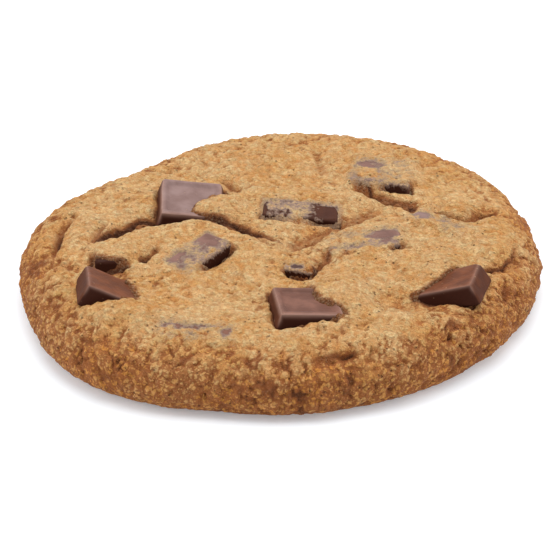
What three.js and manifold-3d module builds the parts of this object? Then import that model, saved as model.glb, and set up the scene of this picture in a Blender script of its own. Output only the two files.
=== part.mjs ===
// A chocolate chunk cookie: one thick, craggy round of baked dough with blocks of chocolate
// sunk into its top, some bare and some half buried. Millimetres, +Z up. The origin is on the
// table, under the middle of the cookie. +X is its right and +Y its back.

import * as THREE from "three";
import { mergeVertices } from "three/addons/utils/BufferGeometryUtils.js";
import Module from "manifold-3d";

// ---- Driving dimensions, in millimetres ----
const COOKIE_RADIUS = 50.5; // mean radius at the widest level
const OVAL_STRETCH = 2.5; // how far the long ends of the oval stand out, and its flanks stand in
const OVAL_BEARING = 45; // bearing of its long axis, in degrees
const WAIST_HEIGHT = 4.6; // level at which the edge is widest
const TOP_HEIGHT = 12.6; // level at which the top begins to roll over the edge
const DOME_RISE = 1.0; // how much higher the middle is
const SHOULDER = 11; // width of the rolled-over edge, seen from above
const SHOULDER_FULLNESS = 2.4; // exponent of the shoulder's curve: 2 is an ellipse
const FOOT = 4.8; // how far the edge tucks in under the waist
const CHUNK_GAP = 0.3; // air between a chunk and its pocket in the dough

const DOUGH_DETAIL = 21; // subdivisions of the ball that is pressed into the cookie
const UNDERSIDE_DENSITY = 0.06; // share of the triangles' density that the flat underside gets
const PROFILE_STEPS = 240; // samples along the cookie's profile

const DEGREES = Math.PI / 180;

// Bulges of the outline, and flats where the rise is negative: the bearing of the middle, half
// of the width, both in degrees, and how far it stands out.
const BULGES = [
  { bearing: 20, spread: 30, rise: -1 },
  { bearing: 90, spread: 25, rise: 1.5 },
  { bearing: 135, spread: 20, rise: -3 },
  { bearing: 165, spread: 20, rise: 1.5 },
  { bearing: 195, spread: 15, rise: -1 },
  { bearing: 230, spread: 15, rise: 1 },
  { bearing: 255, spread: 10, rise: -1 },
  { bearing: 310, spread: 35, rise: 1 },
];

// Swellings of the dough's top: middle, half lengths along and across, turn, and rise.
const LUMPS = [
  { at: [-16, -7], reach: [20, 10], turn: 5, rise: 1 }, // left lump, in front of the main fold
  { at: [0, 13], reach: [15, 6.5], turn: 0, rise: 1.2 }, // middle lump, behind the main fold
  { at: [-14, 5.5], reach: [8, 5], turn: 60, rise: 2 }, // lap over the back left chunk
  { at: [-27, 12], reach: [8, 4], turn: 80, rise: 1 }, // left of the back left chunk
  { at: [22, -7], reach: [13, 10], turn: -10, rise: 1 }, // right lump
  { at: [29.5, -16], reach: [8, 4.5], turn: 40, rise: 2 }, // lap over the right chunk
  { at: [21, 25], reach: [10, 9], turn: -15, rise: 1 }, // back right lump
  { at: [32, 10], reach: [6, 5], turn: 0, rise: 1 },
  { at: [41, 0], reach: [8, 6], turn: 80, rise: 1 },
  { at: [-38, 1], reach: [7, 5], turn: 70, rise: 1.2 },
  { at: [-32, -9], reach: [5, 4.5], turn: 0, rise: 2 }, // lap over the small left chunk
  { at: [-42, -17], reach: [7, 5], turn: 70, rise: 0.8 },
  { at: [-29, -31.5], reach: [10, 4.5], turn: -20, rise: 2 }, // in front of the left chunk
  { at: [-14, -35], reach: [12, 5], turn: 0, rise: 0.5 }, // over the front left chunk
  { at: [11, -25.5], reach: [7, 5], turn: -50, rise: 2.2 }, // lap over the front chunk
  { at: [9.5, -36], reach: [7, 3], turn: 0, rise: 1.2 }, // in front of the front chunk
  { at: [12, -41], reach: [12, 4], turn: 5, rise: 0.6 },
  { at: [-3, 31], reach: [9, 6], turn: 0, rise: 0.7 },
];

// Hollows beside the chunks, given in the same way.
const HOLLOWS = [
  { at: [24, -27], reach: [8, 3], turn: -10, depth: 1.8 }, // in front of the right chunk
  { at: [-33.5, -15.5], reach: [4, 2], turn: 0, depth: 1.8 }, // behind the left chunk
  { at: [3, -18.5], reach: [3.5, 1.5], turn: -15, depth: 1.5 }, // in front of the centre chunk
  { at: [4, 5], reach: [9, 1.5], turn: -5, depth: 1 }, // in front of the middle chunk
  { at: [-12, -11.5], reach: [5.5, 2], turn: 60, depth: 1.7 }, // right of the left middle chunk
];

// Folds where lumps of dough meet: the line along the bottom, its depth, and the width of its
// near and far banks. The near bank is the one on the right of somebody walking along the line.
const FOLDS = [
  {
    line: [[-36.5, -6.5], [-33.5, -2.5], [-29.5, 2], [-24, 4], [-12.5, 2], [-6.5, -1.5], [1, -9.5]],
    depth: 2.6, near: 1, far: 2.6,
  },
  { line: [[0, -9.5], [5.5, -4], [14.5, 5], [21.5, 11.5]], depth: 1.7, near: 1, far: 2.8 },
  { line: [[6.5, 40], [7, 31], [8.5, 22]], depth: 1, near: 1.4, far: 1.4 },
  { line: [[12.5, 24], [15.5, 18.5], [20, 14.5], [24.5, 12.5], [26, 6]], depth: 2.2, near: 1.2, far: 1.6 },
  { line: [[25, 9], [30, 8.5], [32, 15]], depth: 1, near: 1, far: 1 },
  { line: [[42.5, 12], [39.5, 9.5], [36, 5.5], [31.5, 6.5], [30, 8.5]], depth: 2.4, near: 1.8, far: 0.9 },
  { line: [[36.5, -14.5], [40.5, -13.5], [44, -10], [46.5, -2.5]], depth: 1.3, near: 1, far: 1.4 },
  { line: [[41.5, -17], [43, -20.5], [45.5, -19.5]], depth: 1.4, near: 1.2, far: 1.2 },
  { line: [[9.5, -6.5], [8, -10.5], [4, -19]], depth: 1.5, near: 1.1, far: 1.1 },
  { line: [[-26.5, -13.5], [-25.5, -10.5], [-23, -7]], depth: 1.1, near: 0.8, far: 0.8 },
  { line: [[-33.5, 4.5], [-36, -0.5], [-37, -6]], depth: 1.2, near: 1, far: 1 },
  { line: [[-40, 9.5], [-42.5, 4.5], [-43.5, -2.5], [-44.5, -9]], depth: 1.9, near: 1.4, far: 0.9 },
  { line: [[-13.5, 25], [-11, 22], [-9.5, 18], [-7.5, 16.5]], depth: 1.3, near: 1.2, far: 1.2 },
  { line: [[4.5, -47.5], [7.5, -46.5], [12, -45], [14.5, -44]], depth: 1.2, near: 0.9, far: 1.1 },
  { line: [[-46, -13], [-42.5, -11.5], [-38, -16.5]], depth: 1.1, near: 1, far: 1 },
  { line: [[31.5, -34.5], [30.5, -36.5], [30, -39.5]], depth: 1, near: 0.8, far: 0.8 },
];

// Blocks of chocolate: middle, size along x, y and z, and the turn about z, then x, then y.
// The flare is how much further out the foot is than the top, on each side. A moulded block has
// a raised rim around its top.
const CHUNKS = [
  {
    name: "chunk_back_left", flare: 1, moulded: true,
    at: [-18, 11.5, 12.5], size: [12, 12.5, 4.5], turn: [0, 6, 6],
  },
  {
    name: "chunk_left", flare: 0.6,
    at: [-32, -23.5, 12], size: [12, 10, 4.5], turn: [5, -5, 25],
  },
  {
    name: "chunk_front", flare: 1, moulded: true,
    at: [4.5, -30, 12], size: [12, 11, 4.5], turn: [8, 0, 5],
  },
  {
    name: "chunk_right", flare: 1,
    at: [31.5, -21, 12], size: [12, 9, 4.5], turn: [-15, 0, -20],
  },
  {
    name: "chunk_back_right", flare: 0.5,
    at: [20, 24.5, 12.2], size: [12, 11.5, 4.5], turn: [-10, -3, 1],
  },
  {
    name: "chunk_middle", flare: 0.5,
    at: [3.5, 8.5, 12.2], size: [14.5, 5.5, 4], turn: [-4, 10, 4],
  },
  {
    name: "chunk_left_middle", flare: 0.5,
    at: [-16, -10, 12.5], size: [12.5, 6.5, 4], turn: [50, 0, -7],
  },
  {
    name: "chunk_right_middle", flare: 0.5,
    at: [16, -4.5, 12.2], size: [14, 8, 4], turn: [5, -3, -6],
  },
  {
    name: "chunk_centre", flare: 0.2,
    at: [3, -15, 12.3], size: [5.5, 3, 3], turn: [-10, 0, 6],
  },
  {
    name: "chunk_left_small", flare: 0.2,
    at: [-33, -11, 11.8], size: [5.5, 5, 4], turn: [4, -4, 0],
  },
  {
    name: "chunk_front_left", flare: 0.5,
    at: [-16, -38.5, 11], size: [14, 5, 4], turn: [-6, 8, 0],
  },
  {
    name: "chunk_right_edge", flare: 0.5,
    at: [30.5, 3, 12], size: [12, 5, 4], turn: [-30, -4, 4],
  },
];
const CHUNK_ROUNDING = 0.7; // radius of a chunk's edges
const RIM_WIDTH = 1.5; // the raised rim of a moulded chunk's top
const RIM_RISE = 0.3;

const DOUGH = new THREE.MeshStandardMaterial({ color: 0xd6a468, roughness: 0.8, metalness: 0 });
const CHOCOLATE = new THREE.MeshStandardMaterial({ color: 0x5c3524, roughness: 0.4, metalness: 0 });

// ---- Noise, the same wherever it is worked out ----

// A fixed pseudo-random number from 0 to 1 for each corner of a lattice.
function lattice(i, j, k, seed) {
  const s = Math.sin(i * 127.1 + j * 311.7 + k * 74.7 + seed * 53.9) * 43758.5453;
  return s - Math.floor(s);
}

function smooth(t) {
  return t * t * (3 - 2 * t);
}

// Smoothed lattice noise from -1 to 1, for features about one unit across.
function noise(x, y, z, seed) {
  const [i, j, k] = [Math.floor(x), Math.floor(y), Math.floor(z)];
  const [u, v, w] = [smooth(x - i), smooth(y - j), smooth(z - k)];
  const lerp = THREE.MathUtils.lerp;
  const row = (dj, dk) => lerp(lattice(i, j + dj, k + dk, seed), lattice(i + 1, j + dj, k + dk, seed), u);
  const layer = (dk) => lerp(row(0, dk), row(1, dk), v);
  return 2 * lerp(layer(0), layer(1), w) - 1;
}

// Domes of dough packed side by side: 1 in the middle of a dome, falling to about 0 between them.
function cobbles(x, y, z, seed) {
  const [i, j, k] = [Math.floor(x), Math.floor(y), Math.floor(z)];
  let nearest = 9;
  for (let a = i - 1; a <= i + 1; a++) {
    for (let b = j - 1; b <= j + 1; b++) {
      for (let c = k - 1; c <= k + 1; c++) {
        const dx = a + lattice(a, b, c, seed) - x;
        const dy = b + lattice(a, b, c, seed + 1) - y;
        const dz = c + lattice(a, b, c, seed + 2) - z;
        nearest = Math.min(nearest, dx * dx + dy * dy + dz * dz);
      }
    }
  }
  return Math.max(0, 1 - nearest);
}

// ---- The cookie's plain form ----

// The cookie's radius on a bearing, at the widest level.
function outline(bearing) {
  const oval = OVAL_STRETCH * Math.cos(2 * (bearing - OVAL_BEARING * DEGREES));
  const bulges = BULGES.map((bulge) => {
    const turned = THREE.MathUtils.euclideanModulo(bearing / DEGREES - bulge.bearing + 180, 360) - 180;
    return bulge.rise * Math.exp(-((turned / bulge.spread) ** 2));
  });
  return COOKIE_RADIUS + oval + bulges.reduce((sum, rise) => sum + rise, 0);
}

// A point of the profile of a round cookie, from the middle of the top at 0, over the shoulder
// from 1 to 2 and the foot from 2 to 3, to the middle of the underside at 4.
function profilePoint(t) {
  const flat = COOKIE_RADIUS - SHOULDER;
  if (t < 1) {
    return new THREE.Vector2(flat * t, TOP_HEIGHT + DOME_RISE * (1 - t * t));
  }
  if (t < 2) {
    const out = Math.sin((t - 1) * 0.5 * Math.PI);
    const drop = Math.sqrt(Math.max(0, 1 - out ** SHOULDER_FULLNESS));
    return new THREE.Vector2(flat + SHOULDER * out, WAIST_HEIGHT + (TOP_HEIGHT - WAIST_HEIGHT) * drop);
  }
  if (t < 3) {
    const turn = (t - 2) * 0.5 * Math.PI;
    const tuck = FOOT * (1 - Math.cos(turn));
    return new THREE.Vector2(COOKIE_RADIUS - tuck, WAIST_HEIGHT * (1 - Math.sin(turn)));
  }
  return new THREE.Vector2((COOKIE_RADIUS - FOOT) * (4 - t), 0);
}

// The profile as a list of points, each with the share of the surface that lies before it. The
// underside counts for little, so that the triangles go to the top and the edge.
function measureProfile() {
  const stations = [];
  let area = 0;
  for (let step = 0; step <= PROFILE_STEPS; step++) {
    const t = (4 * step) / PROFILE_STEPS;
    const point = profilePoint(t);
    if (step > 0) {
      const before = stations[step - 1].point;
      const density = t > 3 ? UNDERSIDE_DENSITY : 1;
      area += density * point.distanceTo(before) * (point.x + before.x);
    }
    stations.push({ t, point, area });
  }
  stations.forEach((station) => (station.share = station.area / area));
  return stations;
}

// The place along the profile that has a given share of the surface before it.
function profileAt(stations, share) {
  const next = Math.max(1, stations.findIndex((station) => station.share >= share));
  const [a, b] = [stations[next - 1], stations[next]];
  const part = (share - a.share) / (b.share - a.share);
  const t = THREE.MathUtils.lerp(a.t, b.t, THREE.MathUtils.clamp(part, 0, 1));
  const along = b.point.clone().sub(a.point).normalize();
  return { t, point: profilePoint(t), normal: new THREE.Vector2(-along.y, along.x) };
}

// ---- The dough's relief ----

// How strongly a lump or a hollow acts at a place: 1 over its middle, falling off past its reach.
function presence({ at, reach, turn }, x, y) {
  const [dx, dy] = [x - at[0], y - at[1]];
  const [c, s] = [Math.cos(turn * DEGREES), Math.sin(turn * DEGREES)];
  const away = Math.hypot((dx * c + dy * s) / reach[0], (dy * c - dx * s) / reach[1]);
  return Math.exp(-(away ** 3));
}

// The line of a fold as short straight steps along a smooth curve.
function foldSteps(fold) {
  const curve = new THREE.SplineCurve(fold.line.map(([x, y]) => new THREE.Vector2(x, y)));
  return curve.getPoints(4 * (fold.line.length - 1));
}

// How deep a fold is at a place. It fades towards both of its ends.
function foldDepth(fold, steps, x, y) {
  let nearest = { away: Infinity };
  for (let i = 1; i < steps.length; i++) {
    const [a, b] = [steps[i - 1], steps[i]];
    const [ex, ey, px, py] = [b.x - a.x, b.y - a.y, x - a.x, y - a.y];
    const part = THREE.MathUtils.clamp((px * ex + py * ey) / (ex * ex + ey * ey), 0, 1);
    const away = Math.hypot(px - part * ex, py - part * ey);
    if (away < nearest.away) {
      nearest = { away, left: ex * py - ey * px > 0, run: (i - 1 + part) / (steps.length - 1) };
    }
  }
  const bank = nearest.left ? fold.far : fold.near;
  const fade = Math.min(1, 4 * nearest.run, 4 * (1 - nearest.run));
  return fold.depth * smooth(fade) * Math.exp(-((nearest.away / bank) ** 1.3));
}

// Crags of the crust: packed domes that grow bolder towards the edge, on an uneven ground.
function crags(x, y, z, edge) {
  const ground = 0.35 * noise(x / 7, y / 7, z / 7, 3) + 0.16 * noise(x / 3.1, y / 3.1, z / 3.1, 5);
  const domes = cobbles(x / 3.4, y / 3.4, z / 3.4, 11) - 0.6;
  return ground + domes * THREE.MathUtils.lerp(0.25, 0.6, edge);
}

// Where a direction out of a unit ball ends up when the ball is pressed into the cookie.
function doughPoint(direction, stations, folds) {
  const { t, point, normal } = profileAt(stations, (1 - direction.z) / 2);
  const bearing = Math.atan2(direction.y, direction.x);
  const reach = (point.x / COOKIE_RADIUS) * outline(bearing);
  const [x, y, z] = [reach * Math.cos(bearing), reach * Math.sin(bearing), point.y];
  if (t >= 3) {
    return new THREE.Vector3(x, y, 0);
  }
  const edge = smooth(THREE.MathUtils.clamp(t - 0.8, 0, 1));
  const onTop = 1 - smooth(THREE.MathUtils.clamp((t - 1.3) / 0.7, 0, 1));
  const lumps = LUMPS.reduce((sum, lump) => sum + lump.rise * presence(lump, x, y), 0);
  const hollows = HOLLOWS.reduce((sum, hollow) => sum + hollow.depth * presence(hollow, x, y), 0);
  const dips = folds.map(({ fold, steps }) => foldDepth(fold, steps, x, y));
  const nearFoot = t > 2 ? 1 - smooth(t - 2) : 1;
  const out = onTop * (lumps - hollows - Math.max(...dips)) + nearFoot * crags(x, y, z, edge);
  const sideways = out * normal.x;
  return new THREE.Vector3(
    x + sideways * Math.cos(bearing),
    y + sideways * Math.sin(bearing),
    Math.max(0, z + out * normal.y),
  );
}

function doughGeometry() {
  const stations = measureProfile();
  const folds = FOLDS.map((fold) => ({ fold, steps: foldSteps(fold) }));
  const ball = closedMesh(new THREE.IcosahedronGeometry(1, DOUGH_DETAIL));
  const places = ball.getAttribute("position");
  for (let i = 0; i < places.count; i++) {
    const direction = new THREE.Vector3().fromBufferAttribute(places, i).normalize();
    places.setXYZ(i, ...doughPoint(direction, stations, folds).toArray());
  }
  return ball;
}

// ---- Chunks ----

// A geometry with its shared corners merged, so that it is one closed surface.
function closedMesh(geometry) {
  geometry.deleteAttribute("normal");
  geometry.deleteAttribute("uv");
  return mergeVertices(geometry, 1e-5);
}

// Where the lines across a chunk's face lie, from -1 to 1: close together at its edges.
function faceLines(size, moulded) {
  const corner = 1 - (2 * CHUNK_ROUNDING) / size;
  const half = moulded ? [1 - (2 * RIM_WIDTH) / size, corner, 1] : [corner, 1];
  return [...half.map((line) => -line).reverse(), ...half];
}

// A block of chocolate with rounded edges, wider at its foot, and grown by a gap on each side.
function chunkGeometry({ size, flare, moulded = false }, gap = 0) {
  const lines = [faceLines(size[0], moulded), faceLines(size[1], moulded), faceLines(size[2], false)];
  const cells = lines.map((line) => line.length - 1);
  const block = closedMesh(new THREE.BoxGeometry(2, 2, 2, ...cells));
  const places = block.getAttribute("position");
  const half = size.map((length) => length / 2);
  const rounding = CHUNK_ROUNDING + gap;
  for (let i = 0; i < places.count; i++) {
    const share = [places.getX(i), places.getY(i), places.getZ(i)].map(
      (at, axis) => lines[axis][Math.round(((at + 1) / 2) * cells[axis])],
    );
    const inner = share.map((at, axis) =>
      THREE.MathUtils.clamp(at * half[axis], CHUNK_ROUNDING - half[axis], half[axis] - CHUNK_ROUNDING),
    );
    const outward = new THREE.Vector3(...share.map((at, axis) => at * half[axis] - inner[axis]));
    const place = new THREE.Vector3(...inner).addScaledVector(outward.normalize(), rounding);
    const spread = 1 + ((1 - share[2]) * flare) / size[0];
    const outermost = Math.max(Math.abs(share[0]), Math.abs(share[1]));
    const onRim = moulded && share[2] === 1 && outermost > 1 - (2 * RIM_WIDTH) / size[0] + 0.01;
    places.setXYZ(i, place.x * spread, place.y * spread, place.z + (onRim ? RIM_RISE : 0));
  }
  return block;
}

// How a chunk lies in the dough.
function chunkPose({ at, turn }) {
  const [aboutZ, aboutX, aboutY] = turn.map((angle) => angle * DEGREES);
  return new THREE.Matrix4()
    .makeRotationFromEuler(new THREE.Euler(aboutX, aboutY, aboutZ, "ZXY"))
    .setPosition(...at);
}

// ---- Joining and cutting ----

const wasm = await Module();
wasm.setup();

function toSolid(geometry) {
  return new wasm.Manifold(
    new wasm.Mesh({
      numProp: 3,
      vertProperties: Float32Array.from(geometry.getAttribute("position").array),
      triVerts: Uint32Array.from(geometry.index.array),
    }),
  );
}

function toGeometry(solid) {
  const { vertProperties, triVerts } = solid.getMesh();
  const geometry = new THREE.BufferGeometry();
  geometry.setAttribute("position", new THREE.BufferAttribute(vertProperties, 3));
  geometry.setIndex(new THREE.BufferAttribute(triVerts, 1));
  geometry.computeVertexNormals();
  return geometry;
}

// The dough with a pocket for each chunk, without the crumbs that the cuts leave loose.
function pocketedDough() {
  const pockets = CHUNKS.map((chunk) =>
    toSolid(chunkGeometry({ ...chunk, moulded: false }, CHUNK_GAP).applyMatrix4(chunkPose(chunk))),
  );
  const cut = pockets.reduce((dough, pocket) => dough.subtract(pocket), toSolid(doughGeometry()));
  const pieces = cut.decompose().sort((a, b) => b.volume() - a.volume());
  return toGeometry(pieces[0]);
}

// ---- The cookie ----

const cookie = new THREE.Group();
cookie.name = "cookie";

const dough = new THREE.Mesh(pocketedDough(), DOUGH);
dough.name = "dough";
cookie.add(dough);

for (const chunk of CHUNKS) {
  const block = new THREE.Mesh(chunkGeometry(chunk), CHOCOLATE);
  block.name = chunk.name;
  block.applyMatrix4(chunkPose(chunk));
  cookie.add(block);
}

// The origin goes under the middle of the dough.
const middle = new THREE.Box3().setFromObject(dough, true).getCenter(new THREE.Vector3());
cookie.position.set(-middle.x, -middle.y, 0);

export default cookie;
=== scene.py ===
"""A chocolate chunk cookie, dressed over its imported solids.

The dough is one grid pressed into the cookie's form. It has the lumps, hollows and folds of the
solid, and finer crags, cracks and crumb on top. It laps over some chunks as a film. Each chunk
is one cube pressed into a block of chocolate in the place of its own solid.

Lengths in the tables are millimetres, measured from a point near the middle of the underside.
"""

from __future__ import annotations

import logging
import math
from dataclasses import dataclass
from enum import Enum
from functools import cached_property
from itertools import product

import bpy
import numpy as np
from mathutils import Matrix, Vector

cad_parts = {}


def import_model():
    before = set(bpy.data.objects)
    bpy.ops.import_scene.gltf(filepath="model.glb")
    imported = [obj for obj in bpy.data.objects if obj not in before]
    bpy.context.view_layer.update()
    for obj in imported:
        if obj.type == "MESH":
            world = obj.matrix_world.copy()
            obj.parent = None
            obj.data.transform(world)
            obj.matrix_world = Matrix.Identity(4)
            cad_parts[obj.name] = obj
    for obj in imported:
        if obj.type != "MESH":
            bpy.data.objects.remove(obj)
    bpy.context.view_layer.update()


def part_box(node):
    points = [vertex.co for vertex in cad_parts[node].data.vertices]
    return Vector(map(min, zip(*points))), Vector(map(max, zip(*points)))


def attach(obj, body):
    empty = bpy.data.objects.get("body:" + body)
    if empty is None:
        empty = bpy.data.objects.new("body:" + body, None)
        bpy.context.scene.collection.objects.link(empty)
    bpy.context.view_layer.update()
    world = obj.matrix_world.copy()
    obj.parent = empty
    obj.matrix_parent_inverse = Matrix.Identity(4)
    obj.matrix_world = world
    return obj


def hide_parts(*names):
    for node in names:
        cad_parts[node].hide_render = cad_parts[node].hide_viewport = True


LOG = logging.getLogger("cookie")
MM = 0.001

# The dough's profile runs from 0 in the middle of the top to this at the edge of the underside.
PROFILE_END = 3

# How many times deeper than it is a material's relief is drawn.
BUMP_BOOST = 1.5

# The inputs of the dough's node group that its masks go into. The first also carries painted
# shade in hollows and a painted highlight on crumb tips, and the second is painted shade.
DOUGH_MASKS = ("Browning_and_shade", "Crevice_shade", "Smear")


# ---- Noise ----


def lattice(i: np.ndarray, j: np.ndarray, k: np.ndarray, seed: float) -> np.ndarray:
    """Return a fixed pseudo-random number from 0 to 1 for each corner of a lattice."""
    s = np.sin(i * 127.1 + j * 311.7 + k * 74.7 + seed * 53.9) * 43758.5453
    return s - np.floor(s)


def smooth(t: np.ndarray) -> np.ndarray:
    """Return an eased share, for shares from 0 to 1."""
    return t * t * (3 - 2 * t)


def ease(value: np.ndarray, start: float | np.ndarray, end: float | np.ndarray) -> np.ndarray:
    """Return 0 at the start, 1 at the end and an eased share in between."""
    return smooth(np.clip((value - start) / (end - start), 0, 1))


def bell(offset: np.ndarray, width: float) -> np.ndarray:
    """Return 1 where the offset is 0, falling off on both sides past the width."""
    return np.exp(-((offset / width) ** 2))


@dataclass(frozen=True)
class Pattern:
    """A fixed pattern in space: the size of its features, the seed that picks it, its height."""

    size: float
    seed: float
    height: float = 1.0

    def waves(self, points: np.ndarray) -> np.ndarray:
        """Work out smoothed lattice noise.

        Args:
            points: places, one row each.

        Returns:
            One value for each place, from minus the height to the height.
        """
        cell = np.floor(points / self.size)
        share = smooth(points / self.size - cell)
        i, j, k = cell.T
        u, v, w = share.T

        def row(dj: int, dk: int) -> np.ndarray:
            """Blend along x."""
            a = lattice(i, j + dj, k + dk, self.seed)
            return a + (lattice(i + 1, j + dj, k + dk, self.seed) - a) * u

        def layer(dk: int) -> np.ndarray:
            """Blend along y."""
            a = row(0, dk)
            return a + (row(1, dk) - a) * v

        near = layer(0)
        return self.height * (2 * (near + (layer(1) - near) * w) - 1)

    def drift(self, points: np.ndarray) -> np.ndarray:
        """Return the places moved about by up to the height, so that patterns look less regular."""
        moves = [Pattern(self.size, self.seed + axis).waves(points) for axis in range(3)]
        return points + self.height * np.stack(moves, 1)

    def cobbles(self, points: np.ndarray) -> np.ndarray:
        """Work out packed domes, whatever the height.

        Args:
            points: places, one row each.

        Returns:
            One value for each place: 1 in the middle of a dome, about 0 between them.
        """
        x, y, z = (points / self.size).T
        i, j, k = np.floor(x), np.floor(y), np.floor(z)
        nearest = np.full(x.shape, np.inf)
        for a, b, c in product((-1, 0, 1), repeat=3):
            p, q, r = i + a, j + b, k + c
            dx = p + lattice(p, q, r, self.seed) - x
            dy = q + lattice(p, q, r, self.seed + 1) - y
            dz = r + lattice(p, q, r, self.seed + 2) - z
            nearest = np.minimum(nearest, dx * dx + dy * dy + dz * dz)
        return np.maximum(0, 1 - nearest)


# ---- The tables ----


@dataclass(frozen=True)
class Bulge:
    """A bulge of the outline, or a flat where the rise is negative. Angles are in degrees."""

    bearing: float
    spread: float
    rise: float


@dataclass(frozen=True)
class Swell:
    """An oval spot on the plan: its middle, its reach both ways, its turn and its rise.

    It lifts the dough's top, or hollows it where the rise is negative. On a chunk it thins the
    film, or makes the dough stand off deeper, by the rise.
    """

    at: tuple[float, float]
    reach: tuple[float, float]
    turn: float = 0.0
    rise: float = 1.0

    def presence(self, x: np.ndarray, y: np.ndarray) -> np.ndarray:
        """Work out how present the spot is.

        Args:
            x: places along x.
            y: places along y.

        Returns:
            1 over the middle, falling off past the reach.
        """
        dx, dy = x - self.at[0], y - self.at[1]
        c, s = math.cos(math.radians(self.turn)), math.sin(math.radians(self.turn))
        away = np.hypot((dx * c + dy * s) / self.reach[0], (dy * c - dx * s) / self.reach[1])
        return np.exp(-(away**3))


@dataclass(frozen=True)
class Fold:
    """A fold between lumps: the line of its bottom, its depth, and its banks' widths.

    The near bank is the one on the right of somebody walking along the line. The slit is how
    much deeper the narrow crack goes that runs up the left bank. The fold fades out over the
    fading share of its line at each end.
    """

    line: tuple[tuple[float, float], ...]
    depth: float
    near: float
    far: float
    slit: float = 0.5
    fading: float = 0.25

    def path(self, steps: int = 8) -> np.ndarray:
        """Draw a smooth curve through the line.

        Args:
            steps: how many steps each stretch of the line gets.

        Returns:
            Points on the curve, one row each.
        """
        p = np.array(self.line)
        last = len(p) - 1
        out = []
        for q in range(steps * last + 1):
            i = min(q // steps, last - 1)
            w = q / steps - i
            before, a, b, after = p[max(i - 1, 0)], p[i], p[i + 1], p[min(i + 2, last)]
            pull_a, pull_b = (b - before) / 2, (after - a) / 2
            cubic = 2 * a - 2 * b + pull_a + pull_b
            square = 3 * b - 3 * a - 2 * pull_a - pull_b
            out.append(cubic * w**3 + square * w**2 + pull_a * w + a)
        return np.array(out)

    def measure(self, x: np.ndarray, y: np.ndarray) -> tuple[np.ndarray, np.ndarray, np.ndarray]:
        """Measure places against the fold's line.

        Args:
            x: places along x.
            y: places along y.

        Returns:
            The distance from the line, whether a place is on its left, and the fade towards
            the line's ends.
        """
        path = self.path()
        away = np.full(x.shape, np.inf)
        left = np.zeros(x.shape, bool)
        run = np.zeros(x.shape)
        for i, (a, b) in enumerate(zip(path[:-1], path[1:])):
            ex, ey = b - a
            px, py = x - a[0], y - a[1]
            part = np.clip((px * ex + py * ey) / (ex * ex + ey * ey), 0, 1)
            near = np.hypot(px - part * ex, py - part * ey)
            closer = near < away
            away = np.where(closer, near, away)
            left = np.where(closer, ex * py - ey * px > 0, left)
            run = np.where(closer, (i + part) / (len(path) - 1), run)
        return away, left, smooth(np.minimum(1, np.minimum(run, 1 - run) / self.fading))


BULGES = (
    Bulge(20, 30, -1),
    Bulge(90, 25, 1.5),
    Bulge(135, 20, -3),
    Bulge(165, 20, 1.5),
    Bulge(195, 15, -1),
    Bulge(230, 15, 1),
    Bulge(255, 10, -1),
    Bulge(310, 35, 1),
)

SWELLS = (
    Swell((-16, -7), (20, 10), 5, 1),
    Swell((0, 13), (15, 6.5), 0, 1.2),
    Swell((-14, 5.5), (8, 5), 60, 2),
    Swell((-27, 12), (8, 4), 80, 1),
    Swell((22, -7), (13, 10), -10, 1),
    Swell((29.5, -16), (8, 4.5), 40, 2),
    Swell((21, 25), (10, 9), -15, 1),
    Swell((32, 10), (6, 5), 0, 1),
    Swell((41, 0), (8, 6), 80, 1),
    Swell((-38, 1), (7, 5), 70, 1.2),
    Swell((-32, -9), (5, 4.5), 0, 2),
    Swell((-42, -17), (7, 5), 70, 0.8),
    Swell((-29, -31.5), (10, 4.5), -20, 2),
    Swell((-14, -35), (12, 5), 0, 0.5),
    Swell((11, -25.5), (7, 5), -50, 2.2),
    Swell((9.5, -36), (7, 3), 0, 1.2),
    Swell((12, -41), (12, 4), 5, 0.6),
    Swell((-3, 31), (9, 6), 0, 0.7),
    Swell((24, -27), (8, 3), -10, -1.8),
    Swell((-33.5, -15.5), (4, 2), 0, -1.8),
    Swell((3, -18.5), (3.5, 1.5), -15, -1.5),
    Swell((4, 5), (9, 1.5), -5, -1),
    Swell((-12, -11.5), (5.5, 2), 60, -1.7),
)

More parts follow.
